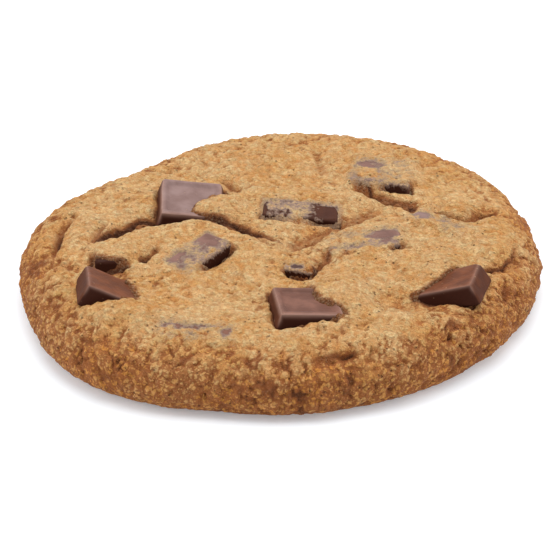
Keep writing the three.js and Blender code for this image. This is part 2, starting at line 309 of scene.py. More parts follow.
FOLDS = (
    Fold(
        ((-36.5, -6.5), (-33.5, -2.5), (-29.5, 2), (-24, 4), (-12.5, 2), (-6.5, -1.5), (1, -9.5)),
        2.6, 1, 2.6, 1.5,
    ),
    Fold(((0, -9.5), (5.5, -4), (14.5, 5), (21.5, 11.5)), 1.7, 1, 2.8, 0.5),
    Fold(((6.5, 40), (7, 31), (8.5, 22)), 1, 1.4, 1.4, 0.4),
    Fold(((12.5, 24), (15.5, 18.5), (20, 14.5), (24.5, 12.5), (26, 6)), 2.2, 1.2, 1.6, 1),
    Fold(((25, 9), (30, 8.5), (32, 15)), 1, 1, 1, 0.3),
    Fold(((42.5, 12), (39.5, 9.5), (36, 5.5), (31.5, 6.5), (30, 8.5)), 2.4, 1.8, 0.9, 1.6),
    Fold(((36.5, -14.5), (40.5, -13.5), (44, -10), (46.5, -2.5)), 1.3, 1, 1.4, 0.9),
    Fold(((41.5, -17), (43, -20.5), (45.5, -19.5)), 1.4, 1.2, 1.2, 0.9),
    Fold(((9.5, -6.5), (8, -10.5), (4, -19)), 1.5, 1.1, 1.1, 1),
    Fold(((-26.5, -13.5), (-25.5, -10.5), (-23, -7)), 1.1, 0.8, 0.8, 1),
    Fold(((-33.5, 4.5), (-36, -0.5), (-37, -6)), 1.2, 1, 1, 0.6),
    Fold(((-40, 9.5), (-42.5, 4.5), (-43.5, -2.5), (-44.5, -9)), 1.9, 1.4, 0.9, 0.8),
    Fold(((-13.5, 25), (-11, 22), (-9.5, 18), (-7.5, 16.5)), 1.3, 1.2, 1.2, 0.5),
    Fold(((4.5, -47.5), (7.5, -46.5), (12, -45), (14.5, -44)), 1.2, 0.9, 1.1, 1),
    Fold(((-46, -13), (-42.5, -11.5), (-38, -16.5)), 1.1, 1, 1, 0.4),
    Fold(((31.5, -34.5), (30.5, -36.5), (30, -39.5)), 1, 0.8, 0.8, 0.8),
)


FILM_PATTERNS = (Pattern(1.2, 93, 0.22), Pattern(3.2, 94, 0.1), Pattern(0.6, 96, 0.18))


@dataclass(frozen=True)
class Block:
    """A chunk: its size, how it lies, and how the dough lies on it.

    The film is how thick the dough over the chunk is, and the bare spots are where it is thin
    or missing. The gap is how deep the dough stands off all round, and the open spots are where
    it stands off more. A moulded chunk has a rim round a dished top, and the flare is how much
    each side leans out below. The last field sets how strongly the top and ends are painted a
    lighter brown, as painted light, and the edges with a painted highlight.
    """

    name: str
    at: tuple[float, float, float]
    size: tuple[float, float, float]
    turn: tuple[float, float, float]
    flare: float
    moulded: bool = False
    # Bloom on the top, which also stands in for a painted sheen.
    bloom_and_sheen: float = 0.0
    film: float | None = None
    bare: tuple[Swell, ...] = ()
    gap: float = 0.9
    open: tuple[Swell, ...] = ()
    # How strongly the top, ends and edges take painted light and a painted highlight.
    top_light: float = 1.0

    @cached_property
    def pose(self) -> np.ndarray:
        """Work out the chunk's place and turn.

        Returns:
            A 4 by 4 matrix that turns about z, then its own x, then its own y.
        """
        about_z, about_x, about_y = (math.radians(a) for a in self.turn)
        turned = (
            Matrix.Rotation(about_z, 4, "Z")
            @ Matrix.Rotation(about_x, 4, "X")
            @ Matrix.Rotation(about_y, 4, "Y")
        )
        return np.array(Matrix.Translation(Vector(self.at)) @ turned)

    def middle_of_box(self) -> np.ndarray:
        """Work out where the upright box round the block lies.

        Returns:
            The middle of the box, in the tables' millimetres.
        """
        ends = np.array([[x, y, z] for x in (-1, 1) for y in (-1, 1) for z in (-1, 1)]) / 2
        corners_at = ends * np.array(self.size)
        corners_at[:, :2] *= (1 + (1 - 2 * ends[:, 2]) * self.flare / self.size[0])[:, None]
        placed = corners_at @ self.pose[:3, :3].T + self.pose[:3, 3]
        return (placed.min(axis=0) + placed.max(axis=0)) / 2

    def top_at(self, x: np.ndarray, y: np.ndarray) -> tuple[np.ndarray, np.ndarray]:
        """Work out the chunk's top over places of the plan.

        Args:
            x: places along x.
            y: places along y.

        Returns:
            The height of the top's plane, and how far outside the top's edge each place is,
            less than 0 inside.
        """
        up = self.pose[:3, 2]
        crown = self.pose[:3, 3] + up * self.size[2] / 2
        height = crown[2] - ((x - crown[0]) * up[0] + (y - crown[1]) * up[1]) / up[2]
        offset = np.stack([x - crown[0], y - crown[1], height - crown[2]], 1)
        along, across = offset @ self.pose[:3, 0], offset @ self.pose[:3, 1]
        past = np.abs(along) - self.size[0] / 2, np.abs(across) - self.size[1] / 2
        return height, np.maximum(*past)

    def stand_off(self, x: np.ndarray, y: np.ndarray) -> np.ndarray:
        """Return how deep the dough stands off beside the chunk, in millimetres."""
        return self.gap + sum(spot.rise * spot.presence(x, y) for spot in self.open)

    def cover(self, places: np.ndarray) -> np.ndarray:
        """Work out how thick the film of dough is.

        Args:
            places: points on the chunk or the dough, one row each.

        Returns:
            The thickness at each place, less than 0 where the film is missing.
        """
        if self.film is None:
            return np.full(len(places), -1.0)
        plan = places * np.array([1, 1, 0])
        thick = self.film
        for pattern in FILM_PATTERNS:
            thick = thick + pattern.waves(plan)
        for spot in self.bare:
            thick = thick - spot.rise * spot.presence(places[:, 0], places[:, 1])
        return thick


BLOCKS = (
    Block("chunk_back_left", (-18, 11.5, 12.5), (12, 12.5, 4.5), (0, 6, 6), 1, True, 0.8),
    Block(
        "chunk_left", (-32, -23.5, 12), (12, 10, 4.5), (5, -5, 25), 0.6,
        open=(Swell((-27.5, -22), (2.5, 4), 20, 0.8),),
    ),
    Block(
        "chunk_front", (4.5, -30, 12), (12, 11, 4.5), (8, 0, 5), 1, True, 0.25,
        open=(Swell((10, -26), (3, 3.5), 0, 0.8),),
    ),
    Block(
        "chunk_right", (31.5, -21, 12), (12, 9, 4.5), (-15, 0, -20), 1,
        open=(Swell((30, -17), (6, 3), -15, 0.6),),
    ),
    Block(
        "chunk_back_right", (20, 24.5, 12.2), (12, 11.5, 4.5), (-10, -3, 1), 0.5, bloom_and_sheen=0.4,
        film=0.24, gap=0, open=(Swell((23, 17.4), (3.2, 2.4), -10, 2.2),),
        bare=(Swell((18, 27.5), (2.8, 1.9), -5, 0.6), Swell((19.5, 18.9), (6.5, 1), -14, 0.4)),
    ),
    Block(
        "chunk_middle", (3.5, 8.5, 12.2), (14.5, 5.5, 4), (-4, 10, 4), 0.5, top_light=0.2,
        film=-0.04, gap=0.3,
        open=(Swell((-2.5, 5), (2.5, 1.5), 0, 1), Swell((9, 5), (3, 1.6), 0, 1)),
        bare=(Swell((9.1, 7), (1.7, 1.8), 0, 1.2), Swell((-4, 7.5), (1, 2.4), 0, 0.7)),
    ),
    Block(
        "chunk_left_middle", (-16, -10, 12.5), (12.5, 6.5, 4), (50, 0, -7), 0.5, bloom_and_sheen=0.4,
        film=0.04, gap=0.1, open=(Swell((-12.3, -11.2), (4.4, 2), 50, 1.5),),
        bare=(Swell((-13.6, -5.8), (3, 2.8), 50, 0.6), Swell((-20.5, -11.5), (2.2, 1.8), 0, 0.45)),
    ),
    Block(
        "chunk_right_middle", (16, -4.5, 12.2), (14, 8, 4), (5, -3, -6), 0.5, bloom_and_sheen=0.4,
        film=0.3, gap=0, open=(Swell((22, -8.5), (1.6, 1.2), 0, 0.8),),
        bare=(
            Swell((20, -3.4), (3.4, 2.4), 0, 0.8),
            Swell((20.3, -7), (2.4, 1.2), 0, 0.4),
            Swell((13, -7.6), (4.5, 1.1), 5, 0.36),
        ),
    ),
    Block(
        "chunk_centre", (3, -15, 12.3), (5.5, 3, 3), (-10, 0, 6), 0.2, bloom_and_sheen=0.2,
        film=0.3, gap=0.2, top_light=0, open=(Swell((3.2, -16.8), (2.8, 1.6), -10, 1.6),),
        bare=(Swell((3, -15.2), (1.8, 0.8), 0, 0.5),),
    ),
    Block("chunk_left_small", (-33, -11, 11.8), (5.5, 5, 4), (4, -4, 0), 0.2, gap=1.2, top_light=0),
    Block(
        "chunk_front_left", (-16, -38.5, 11), (14, 5, 4), (-6, 8, 0), 0.5, bloom_and_sheen=0.2, film=0.3,
        gap=0,
        bare=(
            Swell((-17.5, -37.3), (6.4, 0.9), -3, 0.42),
            Swell((-10.4, -39.5), (1.4, 1.4), 0, 0.6),
        ),
    ),
    Block(
        "chunk_right_edge", (30.5, 3, 12), (12, 5, 4), (-30, -4, 4), 0.5, bloom_and_sheen=0.7, film=0.3,
        gap=0,
        bare=(Swell((27, 5.1), (1.7, 1.5), 0, 0.55), Swell((32, 2.4), (4.5, 0.9), -30, 0.24)),
    ),
)


# ---- The dough's form ----


@dataclass
class Skin:
    """Places on the plain form of the dough: how far along the profile, where, and facing where."""

    t: np.ndarray
    places: np.ndarray
    outward: np.ndarray

    @property
    def edge(self) -> np.ndarray:
        """Return 0 on the flat top and 1 over the rim."""
        return smooth(np.clip(self.t - 0.8, 0, 1))

    @property
    def on_top(self) -> np.ndarray:
        """Return 1 on the top, fading to 0 low on the shoulder."""
        return 1 - ease(self.t, 1.3, 2)

    @property
    def near_foot(self) -> np.ndarray:
        """Return 1 down to the waist, fading to 0 at the foot."""
        return 1 - ease(self.t, 2, 3)


@dataclass
class DoughForm:
    """The cookie's plain form and its coarse relief, worked out at any place.

    A crack runs along each fold, up its far bank, and wanders. The crags are coarse domes, a
    little lower over the rim.
    """

    radius: float = 50.5
    oval_stretch: float = 2.5
    oval_bearing: float = 45
    waist: float = 4.6
    top: float = 12.6
    dome: float = 1.0
    shoulder: float = 11.0
    fullness: float = 2.4
    foot: float = 4.8
    profile_samples: int = 1501
    facing_step: float = 0.004
    bank_curve: float = 1.3
    crack_place: float = 0.65
    crack_width: float = 0.45
    fold_shade: float = 0.3
    fold_shade_from: float = 0.4
    crag_height: float = 0.25
    crag_rim_loss: float = 0.08
    crag_middle: float = 0.6
    crack_wander: Pattern = Pattern(2.3, 61, 0.5)
    crack_jitter: Pattern = Pattern(0.9, 62, 0.25)
    crack_breaks: Pattern = Pattern(2.6, 63)
    rolls: Pattern = Pattern(7, 3, 0.35)
    ripples: Pattern = Pattern(3.1, 5, 0.12)
    crags: Pattern = Pattern(3.4, 11)
    crag_bend: Pattern = Pattern(5, 15, 0.8)

    @cached_property
    def origin(self) -> np.ndarray:
        """Find the tables' origin in the frame, by laying the blocks over their solids.

        Returns:
            The origin, in millimetres.
        """
        gaps = []
        for block in BLOCKS:
            low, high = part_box(block.name)
            gaps.append(np.array((low + high) / 2) / MM - block.middle_of_box())
        return np.array([*np.mean(gaps, axis=0)[:2], 0])

    def to_frame(self, places: np.ndarray) -> np.ndarray:
        """Turn places in the tables' millimetres into the frame's metres."""
        return (places + self.origin) * MM

    def outline(self, bearing: np.ndarray) -> np.ndarray:
        """Work out the outline.

        Args:
            bearing: bearings in radians.

        Returns:
            The outline's radius on each bearing.
        """
        turned = np.degrees(bearing)
        oval = self.oval_stretch * np.cos(2 * np.radians(turned - self.oval_bearing))
        radius = self.radius + oval
        for bulge in BULGES:
            away = (turned - bulge.bearing + 180) % 360 - 180
            radius = radius + bulge.rise * bell(away, bulge.spread)
        return radius

    def profile(self, t: np.ndarray) -> tuple[np.ndarray, np.ndarray]:
        """Return the distance out and the height along the profile.

        Args:
            t: 0 in the middle of the top, 1 to 2 over the shoulder, and from 2 over the foot
                to PROFILE_END.

        Returns:
            The distance from the axis and the height.
        """
        flat = self.radius - self.shoulder
        over = np.sin(np.clip(t - 1, 0, 1) * math.pi / 2)
        tuck = np.clip(t - 2, 0, 1) * math.pi / 2
        drop = np.sqrt(np.maximum(0, 1 - over**self.fullness))
        top = flat * t, self.top + self.dome * (1 - t * t)
        bend = flat + self.shoulder * over, self.waist + (self.top - self.waist) * drop
        base = self.radius - self.foot * (1 - np.cos(tuck)), self.waist * (1 - np.sin(tuck))
        parts = zip(top, bend, base)
        reach, height = (np.where(t < 1, a, np.where(t < 2, b, c)) for a, b, c in parts)
        return reach, height

    def skin(self, share: np.ndarray, bearing: np.ndarray) -> Skin:
        """Find places on the plain form.

        Args:
            share: the share of the upper surface that lies inside each place, from 0 to 1.
            bearing: the bearing of each place.

        Returns:
            The places, and which way they face.
        """
        t = np.linspace(0, PROFILE_END, self.profile_samples)
        reach, height = self.profile(t)
        area = np.cumsum(np.hypot(np.diff(reach), np.diff(height)) * (reach[1:] + reach[:-1]))
        at = np.interp(share * area[-1], np.concatenate([[0], area]), t)
        r0, z0 = self.profile(np.maximum(at - self.facing_step, 0))
        r1, z1 = self.profile(np.minimum(at + self.facing_step, PROFILE_END))
        run = np.hypot(r1 - r0, z1 - z0)
        c, s = np.cos(bearing), np.sin(bearing)
        r, z = self.profile(at)
        r = r * self.outline(bearing) / self.radius
        out, up = -(z1 - z0) / run, (r1 - r0) / run
        return Skin(at, np.stack([r * c, r * s, z], 1), np.stack([out * c, out * s, up], 1))

    def lie(self, x: np.ndarray, y: np.ndarray) -> np.ndarray:
        """Return how much the lumps and hollows lift the top."""
        return sum(swell.rise * swell.presence(x, y) for swell in SWELLS)

    def creases(self, places: np.ndarray) -> tuple[np.ndarray, np.ndarray]:
        """Work out the folds.

        Args:
            places: points on the plain form, one row each.

        Returns:
            The depth of the folds, and the strength of the painted shade in the folds and their
            cracks, from 0 to 1.
        """
        x, y = places[:, 0], places[:, 1]
        wander = self.crack_wander.waves(places) + self.crack_jitter.waves(places)
        broken = 0.5 + 0.5 * ease(self.crack_breaks.waves(places), -0.3, 0.3)
        depth = np.zeros_like(x)
        inside = np.zeros_like(x)
        for fold in FOLDS:
            away, left, fade = fold.measure(x, y)
            bank = np.where(left, fold.far, fold.near)
            wide = fold.depth * fade * np.exp(-((away / bank) ** self.bank_curve))
            up_bank = away * np.where(left, 1, -1) - self.crack_place * fold.far
            crack = bell(up_bank + wander, self.crack_width) * fade * broken
            depth = np.maximum(depth, wide + fold.slit * crack)
            # Painted shade in the fold's bottom and in its crack.
            shade = self.fold_shade * np.maximum(0, wide - self.fold_shade_from)
            shade = shade + fold.slit**2 * crack
            inside = np.maximum(inside, np.clip(shade, 0, 1))
        return depth, inside

    def ground(self, skin: Skin) -> np.ndarray:
        """Work out the coarse relief of the crust.

        Args:
            skin: places on the plain form.

        Returns:
            The height of the crags at each place.
        """
        uneven = self.rolls.waves(skin.places) + self.ripples.waves(skin.places)
        crags = self.crags.cobbles(self.crag_bend.drift(skin.places)) - self.crag_middle
        return uneven + crags * (self.crag_height - self.crag_rim_loss * skin.edge)


# ---- Mesh work ----


def deselect_all() -> None:
    """Leave edit mode and deselect every object."""
    if bpy.context.object is not None and bpy.context.object.mode != "OBJECT":
        bpy.ops.object.mode_set(mode="OBJECT")
    bpy.ops.object.select_all(action="DESELECT")


def places_of(obj: bpy.types.Object) -> np.ndarray:
    """Return an object's mesh points, one row each."""
    flat = np.empty(len(obj.data.vertices) * 3)
    obj.data.vertices.foreach_get("co", flat)
    return flat.reshape(-1, 3)


def set_places(obj: bpy.types.Object, places: np.ndarray) -> None:
    """Move an object's mesh points to new places."""
    obj.data.vertices.foreach_set("co", places.ravel())
    obj.data.update()


def set_mask(obj: bpy.types.Object, name: str, values: np.ndarray) -> None:
    """Store one number for each mesh point, for a material to read."""
    layer = obj.data.attributes.new(name, "FLOAT", "POINT")
    layer.data.foreach_set("value", np.asarray(values, np.float32))


def finish_piece(obj: bpy.types.Object, name: str, material: bpy.types.Material) -> None:
    """Name a piece, turn its faces outwards, shade it smooth and give it its material.

    Args:
        obj: the piece.
        name: its name.
        material: its material.
    """
    obj.name = name
    obj.data.name = name
    obj.data.materials.append(material)
    deselect_all()
    bpy.context.view_layer.objects.active = obj
    obj.select_set(True)
    bpy.ops.object.mode_set(mode="EDIT")
    bpy.ops.mesh.select_all(action="SELECT")
    bpy.ops.mesh.normals_make_consistent(inside=False)
    bpy.ops.object.mode_set(mode="OBJECT")
    bpy.ops.object.shade_smooth()
    obj.select_set(False)
    LOG.info("%s: %d points", name, len(obj.data.vertices))


# ---- Materials ----


class Sketch:
    """A small helper that adds nodes to a node tree and joins them.

    What goes into a node is either another node's output or a plain value.
    """

    def __init__(self, tree: bpy.types.NodeTree) -> None:
        """Keep the tree that is drawn in."""
        self.tree = tree

    def feed(self, node: bpy.types.Node, inputs: dict[int | str, object]) -> None:
        """Fill a node's inputs.

        Args:
            node: the node.
            inputs: what goes into each input.
        """
        for key, value in inputs.items():
            if isinstance(value, bpy.types.NodeSocket):
                self.tree.links.new(value, node.inputs[key])
            else:
                node.inputs[key].default_value = value

    def node(
        self, kind: str, inputs: dict[int | str, object] | None = None, **settings: object
    ) -> bpy.types.Node:
        """Add a node, set its properties and fill its inputs.

        Args:
            kind: the node's type.
            inputs: what goes into each input.
            **settings: the properties to set.

        Returns:
            The node.
        """
        made = self.tree.nodes.new(kind)
        for name, value in settings.items():
            setattr(made, name, value)
        self.feed(made, inputs or {})
        return made

    def math(
        self, operation: str, a: object, b: object = 0.0, c: object = 0.0, clamp: bool = False
    ) -> bpy.types.NodeSocket:
        """Do a sum with up to three numbers, held between 0 and 1 if it is clamped."""
        numbers = {0: a, 1: b, 2: c}
        return self.node("ShaderNodeMath", numbers, operation=operation, use_clamp=clamp).outputs[0]

    def ramp(
        self, value: object, low: float, high: float, out_low: float = 0.0, out_high: float = 1.0
    ) -> bpy.types.NodeSocket:
        """Map a value from one range to another, eased and clamped."""
        numbers = dict(enumerate((value, low, high, out_low, out_high)))
        settings = {"interpolation_type": "SMOOTHSTEP", "clamp": True}
        return self.node("ShaderNodeMapRange", numbers, **settings).outputs[0]

    def mix(self, share: object, a: object, b: object, blend: str = "MIX") -> bpy.types.NodeSocket:
        """Mix some of a second colour into a first one."""
        settings = {"data_type": "RGBA", "blend_type": blend, "clamp_factor": True}
        return self.node("ShaderNodeMix", {0: share, 6: a, 7: b}, **settings).outputs[2]

    def grey(self, value: bpy.types.NodeSocket) -> bpy.types.NodeSocket:
        """Turn a number into a grey."""
        return self.node("ShaderNodeCombineColor", dict.fromkeys(range(3), value)).outputs[0]

    def texture(
        self, kind: str, where: object, size: float, inputs: dict[str, float], **settings: object
    ) -> bpy.types.Node:
        """Add a texture with features of a size in millimetres.

        Args:
            kind: the texture's node type.
            where: the places to read it at.
            size: the size of its features.
            inputs: what goes into its other inputs.
            **settings: the properties to set.

        Returns:
            The texture's node.
        """
        inputs = {"Vector": where, "Scale": 1 / (size * MM), **inputs}
        return self.node(f"ShaderNodeTex{kind}", inputs, **settings)

    def cloud(
        self, where: object, size: float, detail: float = 2.0, rough: float = 0.5, warp: float = 0.0
    ) -> bpy.types.NodeSocket:
        """Add a noise texture and return its value."""
        inputs = {"Detail": detail, "Roughness": rough, "Distortion": warp}
        return self.texture("Noise", where, size, inputs).outputs["Fac"]

    def grains(self, where: object, size: float, feature: str = "F1") -> bpy.types.NodeSocket:
        """Add a cell texture and return the distance that it measures."""
        return self.texture("Voronoi", where, size, {}, feature=feature).outputs["Distance"]

    def warp(self, where: object, size: float, reach: float) -> bpy.types.NodeSocket:
        """Move places about by noise.

        Args:
            where: the places.
            size: the size of the noise's features in millimetres.
            reach: twice how far it moves them, in millimetres.

        Returns:
            The moved places.
        """
        moves = self.texture("Noise", where, size, {}).outputs["Color"]
        numbers = {0: moves, 1: [reach * MM] * 3, 2: where}
        return self.node("ShaderNodeVectorMath", numbers, operation="MULTIPLY_ADD").outputs[0]

    def mask(self, name: str) -> bpy.types.NodeSocket:
        """Read a number stored on the mesh."""
        return self.node("ShaderNodeAttribute", attribute_name=name).outputs["Fac"]

    def where(self) -> bpy.types.NodeSocket:
        """Return the place on the object."""
        return self.node("ShaderNodeTexCoord").outputs["Object"]

    def bump(self, height: bpy.types.NodeSocket, strength: float) -> bpy.types.NodeSocket:
        """Turn a height in millimetres into a normal, with the relief drawn deeper than it is."""
        inputs = {"Strength": strength, "Distance": BUMP_BOOST * MM, "Height": height}
        return self.node("ShaderNodeBump", inputs).outputs["Normal"]


def start_material(name: str) -> tuple[bpy.types.Material, Sketch, bpy.types.ShaderNode]:
    """Start a material.

    Args:
        name: the material's name.

    Returns:
        The material, a sketch of its nodes, and its shader.
    """
    made = bpy.data.materials.new(name)
    made.use_nodes = True
    return made, Sketch(made.node_tree), made.node_tree.nodes["Principled BSDF"]


def colour(red: int, green: int, blue: int) -> tuple[float, float, float, float]:
    """Turn a colour on the screen's scale into Blender's linear one.

    Args:
        red: its red, from 0 to 255.
        green: its green.
        blue: its blue.

    Returns:
        The linear colour, with an alpha of 1.
    """

    def linear(value: int) -> float:
        """Convert one part."""
        share = value / 255
        return share / 12.92 if share <= 0.04045 else ((share + 0.055) / 1.055) ** 2.4

    return (linear(red), linear(green), linear(blue), 1.0)


@dataclass(frozen=True)
class BakedDough:
    """The finish of the dough: its colours from pale crumb to the dark brown of painted shade in
    cracks.

    The sizes and heights of its relief are in millimetres. Pores and cracks go down.
    """

    # Pale is a real tone of patches, and also a painted highlight on crumb tips.
    pale: tuple[float, ...] = colour(232, 204, 156)
    tan: tuple[float, ...] = colour(216, 180, 126)
    golden: tuple[float, ...] = colour(206, 160, 98)
    # Rust is a real tone of patches, and also painted shade between the grains.
    rust: tuple[float, ...] = colour(186, 116, 56)
    brown: tuple[float, ...] = colour(202, 132, 58)
    # The next two browns are painted shade in grooves, pores, cracks, folds and gaps.
    shade_umber: tuple[float, ...] = colour(146, 82, 40)
    deep: tuple[float, ...] = colour(82, 42, 20)
    dusty: tuple[float, ...] = colour(188, 158, 122)
    dust: tuple[float, ...] = colour(150, 124, 104)
    grain_size: float = 1.0
    fine_size: float = 0.5
    grit_size: float = 0.4
    lump_size: float = 1.8
    pore_size: float = 1.2
    crack_size: float = 2.2
    broad_size: float = 9.0
    patch_size: float = 2.6
    toast_size: float = 14.0
    grain_height: float = 0.22
    fine_height: float = 0.12
    grit_height: float = 0.4
    lump_height: float = 0.55
    pore_height: float = -0.45
    crack_height: float = -0.15
    specular: float = 0.25

    def group(self) -> bpy.types.NodeTree:
        """Build the node group that colours and roughens dough.

        Returns:
            A shader group with the inputs Where, Browning, Crevice and Smear, and the outputs
            Color, Height in millimetres, and Roughness.
        """
        tree = bpy.data.node_groups.new("baked_dough", "ShaderNodeTree")
        face = tree.interface
        face.new_socket("Where", in_out="INPUT", socket_type="NodeSocketVector")
        for name in DOUGH_MASKS:
            face.new_socket(name, in_out="INPUT", socket_type="NodeSocketFloat")
        for name, kind in (("Color", "Color"), ("Height", "Float"), ("Roughness", "Float")):
            face.new_socket(name, in_out="OUTPUT", socket_type=f"NodeSocket{kind}")
        s = Sketch(tree)
        given = s.node("NodeGroupInput")
        where = given.outputs["Where"]
        browning_and_shade, crevice_shade = given.outputs["Browning_and_shade"], given.outputs["Crevice_shade"]

        # Crumb: packed grains and finer ones on them, grit, open pores and hairline cracks.
        bent = s.warp(where, 1.1, 1.0)
        grain = s.ramp(s.grains(bent, self.grain_size), 0.0, 0.7, 1.0, 0.0)
        fine = s.ramp(s.grains(where, self.fine_size), 0.0, 0.7, 1.0, 0.0)
        grit = s.cloud(where, self.grit_size, 4.0, 0.7)
        lumpy = s.cloud(where, self.lump_size, 4.0, 0.62, 0.4)
        pores = s.ramp(s.grains(where, self.pore_size), 0.1, 0.24, 1.0, 0.0)
        pores = s.math("MULTIPLY", pores, s.ramp(s.cloud(where, 2 * self.pore_size), 0.5, 0.6))
        cracks = s.ramp(s.grains(bent, self.crack_size, "DISTANCE_TO_EDGE"), 0.08, 0.0)
        split = s.math("MULTIPLY_ADD", browning_and_shade, 0.08, s.cloud(where, 1.6, 3.0, 0.6))
        cracks = s.math("MULTIPLY", cracks, s.ramp(split, 0.56, 0.68))
        height = s.math("MULTIPLY", grain, self.grain_height)
        for layer, rise in (
            (fine, self.fine_height),
            (grit, self.grit_height),
            (lumpy, self.lump_height),
            (pores, self.pore_height),
            (cracks, self.crack_height),
        ):
            height = s.math("MULTIPLY_ADD", layer, rise, height)

        # Colour: broad patches, then toast with a painted highlight on tips and painted shade in
        # hollows, then painted light and shade on and between the grains, then painted shade in
        # pores and cracks.
        broad = s.cloud(where, self.broad_size, 3.0, 0.55)
        patch = s.cloud(where, self.patch_size, 4.0, 0.65, 0.5)
        base = s.mix(s.ramp(broad, 0.36, 0.64), self.tan, self.golden)
        base = s.mix(s.ramp(patch, 0.5, 0.7, 0.0, 0.3), base, self.rust)
        base = s.mix(s.ramp(patch, 0.5, 0.3, 0.0, 0.2), base, self.pale)
        # Painted highlight: crumb tips are mixed paler.
        base = s.mix(s.ramp(browning_and_shade, 0.1, -0.4, 0.0, 0.4), base, self.pale)
        # Real toast, which also carries the painted shade of hollows, mixes in brown.
        toast = s.math("ADD", browning_and_shade, s.ramp(patch, 0.3, 0.7, -0.2, 0.2))
        uneven = s.ramp(s.cloud(where, self.toast_size), 0.35, 0.65, -0.15, 0.15)
        toast = s.math("ADD", toast, uneven)
        base = s.mix(s.math("MULTIPLY", toast, 0.85, clamp=True), base, self.brown)
        # Painted shade: the grooves between grains are tinted rust, and darker brown where the
        # dough is toasted.
        groove = s.math("MULTIPLY_ADD", grain, 0.6, s.math("MULTIPLY", fine, 0.4))
        base = s.mix(s.ramp(groove, 0.5, 0.1, 0.0, 0.45), base, self.rust)
        groove_shade = s.ramp(groove, 0.5, 0.1, 0.0, 0.85)
        groove_shade = s.math("MULTIPLY", groove_shade, s.ramp(browning_and_shade, 0.2, 0.8))
        base = s.mix(groove_shade, base, self.shade_umber)
        # Painted light and shade: lumps and grit lighten or darken the colour as their relief does.
        shade = s.math("MULTIPLY_ADD", lumpy, 0.6, s.math("MULTIPLY", grit, 0.8))
        base = s.mix(1.0, base, s.grey(s.ramp(shade, 0.5, 0.9, 0.86, 1.28)), "MULTIPLY")
        # Painted shade in the pores and hairline cracks.
        base = s.mix(s.math("MULTIPLY", pores, 0.6), base, self.deep)
        base = s.mix(s.math("MULTIPLY", cracks, 0.3), base, self.shade_umber)
        # Painted shade in folds, holes, pits and the gaps beside chunks.
        base = s.mix(s.ramp(crevice_shade, 0.02, 0.45, 0.0, 0.85), base, self.shade_umber)
        base = s.mix(s.ramp(crevice_shade, 0.35, 0.95, 0.0, 0.94), base, self.deep)
        stain = s.math("ADD", given.outputs["Smear"], s.ramp(grit, 0.3, 0.7, -0.3, 0.3))
        base = s.mix(s.ramp(stain, 0.1, 0.6, 0.0, 0.6), base, self.dusty)
        base = s.mix(s.ramp(stain, 0.6, 1.0, 0.0, 0.85), base, self.dust)

        roughness = s.ramp(grit, 0.3, 0.7, 0.9, 0.68)
        s.node("NodeGroupOutput", {"Color": base, "Height": height, "Roughness": roughness})
        return tree

    def material(self, group: bpy.types.NodeTree) -> bpy.types.Material:
        """Build the dough's material around the group.

        Args:
            group: the node group that colours dough.

        Returns:
            The material.
        """
        made, s, shader = start_material("baked_dough")
        masks = {name: s.mask(name.lower()) for name in DOUGH_MASKS}
        crumb = s.node("ShaderNodeGroup", {"Where": s.where(), **masks}, node_tree=group).outputs
        s.feed(
            shader,
            {
                "Base Color": crumb["Color"],
                "Roughness": crumb["Roughness"],
                "Normal": s.bump(crumb["Height"], 1.0),
                "Specular IOR Level": self.specular,
            },
        )
        return made


